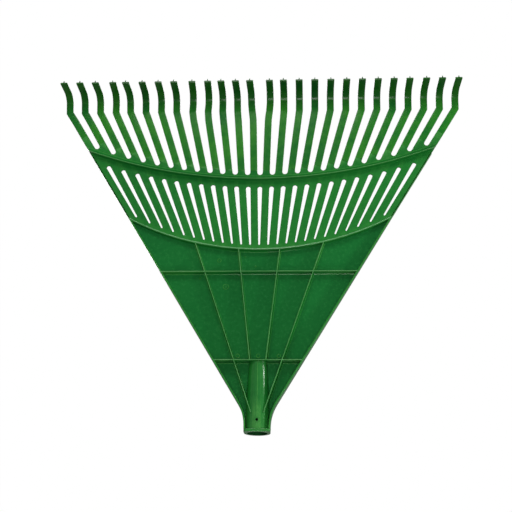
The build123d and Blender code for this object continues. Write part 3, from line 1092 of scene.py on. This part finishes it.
@dataclass
class Socket:
    """The handle socket's tube, with its mould seam, its collar and its screw boss."""

    tube_radius: float = 16.2 * MM
    end_radius: float = 12.6 * MM
    bore_reach: float = 14.2 * MM
    straight: float = 45.0 * MM
    top: float = 97.6 * MM
    tube_rounding: float = 0.25 * MM
    collar_rounding: float = 0.7 * MM
    boss_rounding: float = 0.2 * MM
    seam_foot: float = 22.0 * MM
    seam_width: float = 0.9 * MM
    seam_height: float = 0.18 * MM

    def seam(self) -> Piece:
        """The faint raised line that the mould leaves up the front of the tube.

        Returns:
            The finished piece.
        """
        sections, half = [], self.seam_width / 2
        outline = mirrored([(-half, 0.3 * MM), (-half, -0.02 * MM), (-half * 0.4, -self.seam_height)])
        for height in (self.seam_foot, self.straight, self.top - MM):
            taper = max(0.0, height - self.straight) / (self.top - self.straight)
            radius = self.tube_radius + (self.end_radius - self.tube_radius) * taper
            sections.append([Vector((x, -radius + y, height)) for x, y in outline])
        return bar("socket_seam", sections)

    def paint_bore_shade(self, piece: Piece, material: Paint) -> None:
        """Gives the faces round the handle's bore a darker finish, painted shade inside the socket.

        Args:
            piece: a dressed piece of the socket.
            material: the dark finish, painted shade.
        """
        piece.data.materials.append(material)
        for face in piece.data.polygons:
            away = Vector((face.center.x, face.center.y, 0.0))
            inwards = away.length < self.bore_reach and face.normal.dot(away) < 0
            if inwards and face.center.z > MM:
                face.material_index = 1

    def build(self) -> dict[str, Piece]:
        """Makes the socket's pieces.

        Returns:
            The pieces, by the CAD node that each stands for, or by name where there is none.
        """
        made = {
            node: finished_copy(node, name, rounding)
            for node, name, rounding in (
                ("socket_tube", "socket_tube_smooth", self.tube_rounding),
                ("socket_collar", "socket_collar_rounded", self.collar_rounding),
                ("screw_boss", "screw_boss_rounded", self.boss_rounding),
            )
        }
        made["socket_seam"] = self.seam()
        return made


@dataclass
class MouldMarks:
    """Rings and dots that the mould's pins leave on the tray's floor, and one plain round mark.

    Places are (X, height), and sizes are radii.
    """

    floor: TrayFloor
    ring_radius: float = 2.5 * MM
    ring_wire: float = 0.6 * MM
    ring_flatness: float = 0.8
    rings: tuple[Pair, ...] = (
        (-57.0 * MM, 246.0 * MM), (28.5 * MM, 107.5 * MM),
        (0.0, 107.5 * MM), (-28.5 * MM, 107.5 * MM),
    )
    plain_mark: Pair = (-47.0 * MM, 207.0 * MM)
    plain_radius: float = 3.8 * MM
    dots: tuple[Pair, ...] = (
        (-20.0 * MM, 251.0 * MM), (-5.0 * MM, 237.0 * MM),
        (-84.0 * MM, 220.0 * MM), (-25.0 * MM, 51.0 * MM),
    )
    dot_radius: float = 1.7 * MM
    dot_flatness: float = 0.22

    def lay(self, name: str, place: Pair, flatness: float) -> Piece:
        """Names the new primitive, flattens it and lays it on the floor.

        Args:
            name: the piece's name.
            place: X and height.
            flatness: how much of its depth it keeps.

        Returns:
            The piece.
        """
        piece = bpy.context.object
        piece.name = name
        x, height = place
        lean = math.atan(self.floor.fall)
        piece.data.transform(Matrix.Diagonal((1.0, 1.0, flatness, 1.0)))
        piece.data.transform(Matrix.Rotation(math.radians(90) - lean, 4, "X"))
        piece.data.transform(Matrix.Translation((x, self.floor.y_at(height), height)))
        return piece

    def ring(self, name: str, place: Pair, radius: float) -> Piece:
        """Makes one raised ring.

        Args:
            name: the piece's name.
            place: X and height.
            radius: to the middle of its wire.

        Returns:
            The piece.
        """
        start_clean()
        bpy.ops.mesh.primitive_torus_add(
            major_segments=40, minor_segments=10, major_radius=radius, minor_radius=self.ring_wire
        )
        return self.lay(name, place, self.ring_flatness)

    def dot(self, name: str, place: Pair) -> Piece:
        """Makes one low round pip.

        Args:
            name: the piece's name.
            place: X and height.

        Returns:
            The piece.
        """
        start_clean()
        bpy.ops.mesh.primitive_uv_sphere_add(segments=24, ring_count=12, radius=self.dot_radius)
        return self.lay(name, place, self.dot_flatness)

    def build(self) -> list[Piece]:
        """Makes every mark.

        Returns:
            The marks, as separate pieces.
        """
        made = [
            self.ring(f"pin_ring_{i}", place, self.ring_radius)
            for i, place in enumerate(self.rings, start=1)
        ]
        made.append(self.ring("plain_mark_ring", self.plain_mark, self.plain_radius))
        made.append(self.dot("plain_mark_dot", self.plain_mark))
        return made + [self.dot(f"pin_dot_{i}", place) for i, place in enumerate(self.dots, start=1)]


# ---------------------------------------------------------------- tines


@dataclass
class StrutRibs:
    """The stiffening rib behind each strut of the comb."""

    fan: Fan
    rim: Arc

    def outline(self) -> list[Pair]:
        """The rib's section on the comb's back.

        Returns:
            Its corners, as (offset, Y).
        """
        half, back = BACK_RIB_WIDTH / 2, self.fan.back
        return mirrored([
            (half + 0.6 * MM, back - 0.5 * MM),
            (half + 0.6 * MM, back + 0.02 * MM),
            (half + 0.1 * MM, back + 0.35 * MM),
            (half, back + 0.8 * MM),
            (half * 0.85, back + BACK_RIB_HEIGHT - 0.35 * MM),
            (half * 0.4, back + BACK_RIB_HEIGHT),
        ])

    def build(self) -> list[Piece]:
        """Makes the ribs.

        Returns:
            One rib for each strut, from left to right.
        """
        made = []
        for i, slope in enumerate(self.fan.slopes):
            start = self.rim.dropped(-MM).crossing(self.fan, slope)
            end = self.fan.at_height(slope, self.fan.roots[i] - ROOT_HALF_GAP)
            places, square = (start, start.lerp(end, 0.5), end), self.fan.sideways(slope)
            sections = [set_across(self.outline(), place, square) for place in places]
            made.append(bar(f"strut_rib_{i + 1:02d}", sections))
        return made


@dataclass(frozen=True)
class Lean:
    """How far one tine has been bent sideways in use, at its bend and at its tip."""

    at_bend: float = 0.0
    at_tip: float = 0.0


@dataclass
class Tine:
    """One sprung tine: a flat blade with a rib behind it, folded upright and curled at its tip."""

    fan: Fan
    index: int
    lean: Lean
    bow: float
    thickness: float = 2.6 * MM
    crown: float = 0.1 * MM
    tip_lean: float = math.radians(10)
    upright: float = 12.0 * MM
    hook_angle: float = math.radians(85)
    hook_radius: float = 16.3 * MM
    hook_length: float = 23.0 * MM
    hook_turns: int = 12
    hook_shares: tuple[float, ...] = (0.35, 0.7, 0.975, 1.0)
    blade_shares: tuple[float, ...] = (0.0, 0.06, 0.12, 0.3, 0.5, 0.7, 0.88, 1.0)
    fold_half: float = 2.2 * MM
    fold_ease: float = 0.1 * MM
    inside_stub: float = 4.0 * MM
    root_sizes: Pair = (0.985, 0.992)
    flat_sections: int = 2
    crowning_sections: int = 3
    tip_size: float = 0.93
    bend_below_fold: float = 20.0 * MM
    to_bend: float = 36.0 * MM
    to_tip: float = 92.0 * MM

    def corners(self) -> list[Pair]:
        """The blade's section with the rib behind it.

        Returns:
            Its corners, as (offset, depth behind the face).
        """
        half, thick = self.fan.width / 2, self.thickness
        rib, deep = BACK_RIB_WIDTH / 2, self.thickness + BACK_RIB_HEIGHT
        side = [
            (0.0, -self.crown),
            (half * 0.35, -self.crown * 0.88),
            (half * 0.66, -self.crown * 0.5),
            (half - 0.75 * MM, 0.0),
            (half - 0.32 * MM, 0.12 * MM),
            (half - 0.08 * MM, 0.42 * MM),
            (half, 0.9 * MM),
            (half, thick - 0.7 * MM),
            (half - 0.2 * MM, thick - 0.2 * MM),
            (half - 0.7 * MM, thick),
            (rib + 0.6 * MM, thick),
            (rib + 0.1 * MM, thick + 0.35 * MM),
            (rib, thick + 0.8 * MM),
            (rib * 0.85, deep - 0.35 * MM),
            (rib * 0.4, deep),
        ]
        return mirrored(side)[:-1]

    def path(self) -> list[tuple[float, float, float]]:
        """The blade's face seen from the side, from root to tip.

        Returns:
            Points as (Y, Z, angle from upright).
        """
        front, fold = self.fan.front, self.fan.fold
        start = self.fan.roots[self.index] - ROOT_HALF_GAP - self.inside_stub
        run = fold - self.fold_half - start
        made = []
        for share in self.blade_shares:
            swell = self.bow * math.sin(math.pi * share) ** 2
            made.append((front - swell, start + run * share, 0.0))
        made.append((front - self.fold_ease, fold, self.tip_lean / 2))
        sin, cos = math.sin(self.tip_lean), math.cos(self.tip_lean)
        for reach in (self.fold_half, self.upright * 0.6, self.upright):
            made.append((front - reach * sin, fold + reach * cos, self.tip_lean))
        y, z, _ = made[-1]
        hub_y, hub_z = y - self.hook_radius * cos, z - self.hook_radius * sin
        for i in range(1, self.hook_turns + 1):
            angle = self.tip_lean + (self.hook_angle - self.tip_lean) * i / self.hook_turns
            y = hub_y + self.hook_radius * math.cos(angle)
            z = hub_z + self.hook_radius * math.sin(angle)
            made.append((y, z, angle))
        sin, cos = math.sin(self.hook_angle), math.cos(self.hook_angle)
        for share in self.hook_shares:
            reach = self.hook_length * share
            made.append((y - reach * sin, z + reach * cos, self.hook_angle))
        return made

    def drift(self, travelled: float) -> float:
        """Sideways displacement at a distance above the start of the bend.

        Args:
            travelled: distance along the blade from a little below the fold.

        Returns:
            The displacement along X.
        """
        if travelled <= 0:
            return 0.0
        if travelled < self.to_bend:
            share = travelled / self.to_bend
            return self.lean.at_bend * share * share * (3 - 2 * share)
        share = min(1.0, (travelled - self.to_bend) / (self.to_tip - self.to_bend))
        return self.lean.at_bend + (self.lean.at_tip - self.lean.at_bend) * share

    def build(self) -> Piece:
        """Makes the tine.

        Returns:
            The finished piece.
        """
        fan, slope = self.fan, self.fan.slopes[self.index]
        fold_x = slope * (fan.fold - fan.apex)
        lower, upper = fan.sideways(slope), Vector((1.0, 0.0, 0.0))
        mitre = (lower + upper).normalized()
        mitre /= mitre.dot(lower)
        path, corners, middle = self.path(), self.corners(), self.thickness * 0.5
        sizes = {0: self.root_sizes[0], 1: self.root_sizes[1], len(path) - 1: self.tip_size}
        travelled = path[0][1] - (fan.fold - self.bend_below_fold)
        before = path[0]
        sections = []
        for number, (y, z, angle) in enumerate(path):
            travelled += math.hypot(y - before[0], z - before[1])
            before = (y, z, angle)
            below = z < fan.fold - MM
            square = lower if below else upper
            if abs(z - fan.fold) < MM and angle < self.tip_lean:
                square = mitre
            x = slope * (z - fan.apex) if below else fold_x
            place = Vector((x + self.drift(travelled), y, z))
            behind = Vector((0.0, math.cos(angle), math.sin(angle)))
            crowned = min(1.0, max(0.0, (number - self.flat_sections) / self.crowning_sections))
            size = sizes.get(number, 1.0)
            sections.append([
                place + square * off * size
                + behind * (middle + (max(depth, depth * crowned) - middle) * size)
                for off, depth in corners
            ])
        return bar(f"tine_blade_{self.index + 1:02d}", sections)


@dataclass
class TineRow:
    """All the tines, each with its own slight bends, hung on the comb's stubs."""

    fan: Fan
    bend_mm: tuple[float, ...] = (
        -1, -1, -0.5, 0.5, -1, -0.5, 0, 0, 2, 2.5, 0.5, -0.5, -2.5,
        2.5, 0, 0, 0, 0, 0, 0, 0, 0, 0, 0, 0, 0,
    )
    tip_mm: tuple[float, ...] = (
        -4, -3, -3, 1, -4, -2, -1, -1, 4, 4, 0, -2, -4,
        2.5, 0, 0, 0, 0.5, 0.8, 0.5, 0.5, 0.5, 0.3, 1.9, 1.7, 2.5,
    )
    bow: float = 0.4 * MM
    bow_start: float = 0.6
    bow_step: float = 1.7
    flex: float = 9.0 * MM

    def build(self) -> list[Piece]:
        """Makes every tine.

        Returns:
            The tines, before they are dressed.
        """
        made = []
        for i, (bend, tip) in enumerate(zip(self.bend_mm, self.tip_mm)):
            swell = self.bow * math.sin(self.bow_step * i + self.bow_start)
            made.append(Tine(self.fan, i, Lean(bend * MM, tip * MM), swell).build())
        return made

    def hang(self, tines: list[Piece]) -> None:
        """Bakes each tine's place into its mesh and hides the CAD node that it stands for.

        Args:
            tines: the dressed tines, in order.
        """
        for i, piece in enumerate(tines):
            slope, node = self.fan.slopes[i], f"tine_{i + 1:02d}"
            root, way = self.fan.at_height(slope, self.fan.roots[i]), self.fan.along(slope)
            start, end = root - way * ROOT_HALF_GAP, root + way * self.flex
            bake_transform(piece)
            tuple(start)
            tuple(end)
            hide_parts(node)


# ---------------------------------------------------------------- the studio


@dataclass(frozen=True)
class Lamp:
    """One soft rectangular light that faces the studio's middle; place is counted from there."""

    name: str
    place: Triple
    size: Pair
    watts: float

    def hang(self, middle: Vector) -> None:
        """Hangs the light.

        Args:
            middle: the point that it faces.
        """
        data = bpy.data.lights.new(self.name, "AREA")
        data.shape = "RECTANGLE"
        data.size, data.size_y = self.size
        data.energy = self.watts
        lamp = bpy.data.objects.new(self.name, data)
        bpy.context.scene.collection.objects.link(lamp)
        lamp.location = middle + Vector(self.place)
        lamp.rotation_mode = "QUATERNION"
        lamp.rotation_quaternion = (middle - lamp.location).to_track_quat("-Z", "Y")


@dataclass
class Studio:
    """Camera, soft lights, pale floor and plain white surroundings."""

    eye: Vector
    target: Vector
    roll: float = math.radians(0.807)
    lens: float = 70.3
    sensor: float = 36.0
    floor_height: float = -0.62
    floor_size: float = 16.0
    floor_glow: float = 0.68
    shell_radius: float = 12.0
    air_strength: float = 0.22
    middle: Triple = (0.0, 0.0, 0.28)
    lamps: tuple[Lamp, ...] = (
        Lamp("key", (-0.12, -1.25, 1.20), (0.8, 0.5), 9.5),
        Lamp("side", (1.55, -0.40, 0.66), (0.10, 0.9), 10.0),
        Lamp("low_fill", (0.1, -1.7, -0.75), (0.5, 0.5), 13.0),
        Lamp("back_fill", (-0.3, 1.6, 0.9), (1.2, 1.0), 16.0),
        Lamp("low_right", (1.3, -0.6, -0.75), (0.2, 0.2), 6.0),
    )

    def camera(self) -> None:
        """Puts the camera a little to the right of the head and well below it."""
        data = bpy.data.cameras.new("camera")
        data.lens, data.sensor_width = self.lens, self.sensor
        data.clip_start, data.clip_end = 0.01, 100.0
        camera = bpy.data.objects.new("camera", data)
        bpy.context.scene.collection.objects.link(camera)
        forward = (self.target - self.eye).normalized()
        right = forward.cross(Vector((0, 0, 1))).normalized()
        up = right.cross(forward)
        across = right * math.cos(self.roll) + up * math.sin(self.roll)
        upward = up * math.cos(self.roll) - right * math.sin(self.roll)
        turn = Matrix((across, upward, -forward)).transposed().to_4x4()
        camera.matrix_world = Matrix.Translation(self.eye) @ turn
        bpy.context.scene.camera = camera

    def plain_material(self, name: str, grey: float, glow: float) -> Paint:
        """A plain matt, glowing material for the surroundings.

        Args:
            name: its name.
            grey: how much light it sends back.
            glow: how strongly it glows.

        Returns:
            The material.
        """
        material = bpy.data.materials.new(name)
        material.use_nodes = True
        inputs = material.node_tree.nodes["Principled BSDF"].inputs
        inputs["Base Color"].default_value = (grey, grey, grey, 1.0)
        inputs["Roughness"].default_value = 0.9
        inputs["Specular IOR Level"].default_value = 0.1
        inputs["Emission Color"].default_value = (1.0, 1.0, 1.0, 1.0)
        inputs["Emission Strength"].default_value = glow
        return material

    def surroundings(self) -> None:
        """The floor and a white shell that shows behind the object but casts no light on it."""
        start_clean()
        bpy.ops.mesh.primitive_plane_add(size=self.floor_size, location=(0, 0, self.floor_height))
        floor = bpy.context.object
        floor.name = "studio_floor"
        floor.data.materials.append(self.plain_material("pale_floor", 0.2, self.floor_glow))
        floor.visible_diffuse = floor.visible_glossy = False
        start_clean()
        bpy.ops.mesh.primitive_uv_sphere_add(segments=48, ring_count=24, radius=self.shell_radius)
        shell = bpy.context.object
        shell.name = "studio_shell"
        shell.data.materials.append(self.plain_material("white_shell", 0.0, 1.0))
        for way in ("visible_diffuse", "visible_glossy", "visible_transmission", "visible_shadow"):
            setattr(shell, way, False)

    def build(self) -> None:
        """Sets the whole studio up."""
        self.camera()
        for lamp in self.lamps:
            lamp.hang(Vector(self.middle))
        self.surroundings()
        world = bpy.data.worlds.new("studio_air")
        world.use_nodes = True
        air = world.node_tree.nodes["Background"]
        air.inputs["Color"].default_value = (1.0, 1.0, 1.0, 1.0)
        air.inputs["Strength"].default_value = self.air_strength
        bpy.context.scene.world = world
        bpy.context.scene.view_settings.view_transform = "Standard"


# ---------------------------------------------------------------- the whole head


class Look(Enum):
    """Where on the moulding a finish is used."""

    FACE = "face"
    # Darkened as painted shade of the recessed tray.
    TRAY = "tray"
    TINE = "tine"
    # Painted highlights: paler greens on the crests and on the rim's bead.
    CREST = "crest"
    BEAD = "bead"
    SOCKET = "socket"
    # Painted shade inside the handle's bore.
    BORE = "bore"


def finishes() -> dict[Look, Paint]:
    """Makes the finishes of the moulding.

    Returns:
        The materials, by where they are used.
    """
    made = {
        Look.SOCKET: MouldedFinish(
            Slot.MOULDED, "socket", (0.006, 0.150, 0.020), (0.012, 0.195, 0.026), (0.09, 0.38, 0.07),
            gloss=0.6, low_roughness=0.14, high_roughness=0.24,
        ),
        # Painted shade: a near-black green for the inside of the bore.
        Look.BORE: MouldedFinish(
            Slot.MOULDED, "bore", (0.003, 0.030, 0.006), (0.005, 0.045, 0.009), (0.01, 0.08, 0.02),
        ),
        Look.FACE: MouldedFinish(
            Slot.MOULDED, "face", (0.006, 0.145, 0.020), (0.012, 0.195, 0.026), (0.09, 0.38, 0.07),
        ),
        # Painted shade: a darker green than the face's, for the recessed tray floor.
        Look.TRAY: MouldedFinish(
            Slot.TRAY, "floor", (0.007, 0.138, 0.026), (0.012, 0.182, 0.034), (0.05, 0.30, 0.08),
            low_roughness=0.18, high_roughness=0.30, mottle_scale=240.0, mottle_share=0.6,
            edge_share=0.0,
        ),
        # The tines' brightness by height, by side and at the tips is painted light and shade.
        Look.TINE: MouldedFinish(
            Slot.TINE, "blade", (0.007, 0.140, 0.019), (0.030, 0.235, 0.016), (0.09, 0.36, 0.07),
            drift_scale=18.0, scuff_share=0.15, edge_share=0.3, shade_low=0.4765, shade_high=0.502,
            shade_at_low=0.95, shade_at_high=0.50, outer_gain=1.1, tip_gain=0.5,
            # The pale line at line_height is a painted highlight across the bend.
            line_height=0.4965, line_half_width=0.9 * MM, line_share=0.12,
        ),
        # Painted highlight: a paler green for the crests of the ridge and ribs.
        Look.CREST: MouldedFinish(
            Slot.MOULDED, "crest", (0.018, 0.190, 0.030), (0.045, 0.260, 0.048), (0.16, 0.40, 0.16),
        ),
        # Painted highlight: a paler, glossier green for the rim's bead.
        Look.BEAD: MouldedFinish(
            Slot.MOULDED, "bead", (0.026, 0.225, 0.044), (0.070, 0.330, 0.088), (0.24, 0.48, 0.24),
            gloss=0.4,
        ),
    }
    return {look: finish.build() for look, finish in made.items()}


def settle(piece: Piece, material: Paint, *nodes: str) -> None:
    """Dresses a piece that belongs to the head, and lets it stand for CAD nodes.

    Args:
        piece: the piece.
        material: its finish.
        nodes: the CAD nodes that it stands for, if any.
    """
    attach(dress(piece, material, Slot.MOULDED), HEAD)
    if nodes:
        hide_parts(*nodes)


def main() -> None:
    """Builds the head's parts in order, then the studio."""
    paint = finishes()
    # The crest and bead finishes are painted highlights.
    face_paint, crest_highlight = paint[Look.FACE], paint[Look.CREST]
    fan = Fan.from_frame()
    roots = Arc.through(fan, ROOTS_MIDDLE, ROOTS_EDGE)
    rim = Arc.through(fan, RIM_MIDDLE, RIM_EDGE)
    edge, floor = HeadEdge(fan), TrayFloor(fan.front)

    comb = Comb(fan, roots, rim, edge).build()
    settle(comb, face_paint, "comb_lower_band", "comb_struts", "comb_upper_band", "tine_stubs")
    ridge = ArcRidge(fan, roots, edge).build()
    settle(ridge, face_paint, "upper_arc_ridge")
    # Painted highlight along the ridge's crest.
    paint_highlight(ridge, crest_highlight, level=fan.front - 7.4 * MM)
    bead = ArcRim(fan, rim, edge, floor).build()
    settle(bead, face_paint, "lower_arc_wall")
    # Painted highlight along the rim's bead.
    paint_highlight(bead, paint[Look.BEAD], level=fan.front - 0.1 * MM)
    for node, piece in RibSet(fan, rim, edge, floor).build().items():
        settle(piece, face_paint, node)
        # Painted highlight along each rib's crest.
        paint_highlight(piece, crest_highlight, level=fan.front + 0.3 * MM)
    for node in ("side_flange_left", "side_flange_right"):
        settle(finished_copy(node, node + "_rounded", rounding=0.5 * MM), face_paint, node)
    socket = Socket()
    for node, piece in socket.build().items():
        stands_for = (node,) if node in frame["nodes"] else ()
        settle(piece, paint[Look.SOCKET], *stands_for)
        # Painted shade inside the handle's bore.
        socket.paint_bore_shade(piece, paint[Look.BORE])
    for node, pieces in (
        ("ejector_marks", MouldMarks(floor).build()),
        ("strut_back_ribs", StrutRibs(fan, rim).build()),
    ):
        for piece in pieces:
            settle(piece, face_paint)
        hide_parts(node)
    row = TineRow(fan)
    row.hang([dress(piece, paint[Look.TINE], Slot.TINE) for piece in row.build()])
    # The kept panels take the tray finish, darkened as painted shade.
    for node in ("web_panel", "neck_web_left", "neck_web_right"):
        panel = frame["nodes"][node]
        panel.data.materials.clear()
        panel.data.materials.append(paint[Look.TRAY])
        LOG.info("kept %s", node)

    Studio(eye=Vector((0.0710, -1.3473, -0.2362)), target=Vector((-0.0042, -0.015, 0.2495))).build()


if __name__ == "__main__":
    logging.basicConfig(level=logging.INFO, format="%(message)s")
    main()
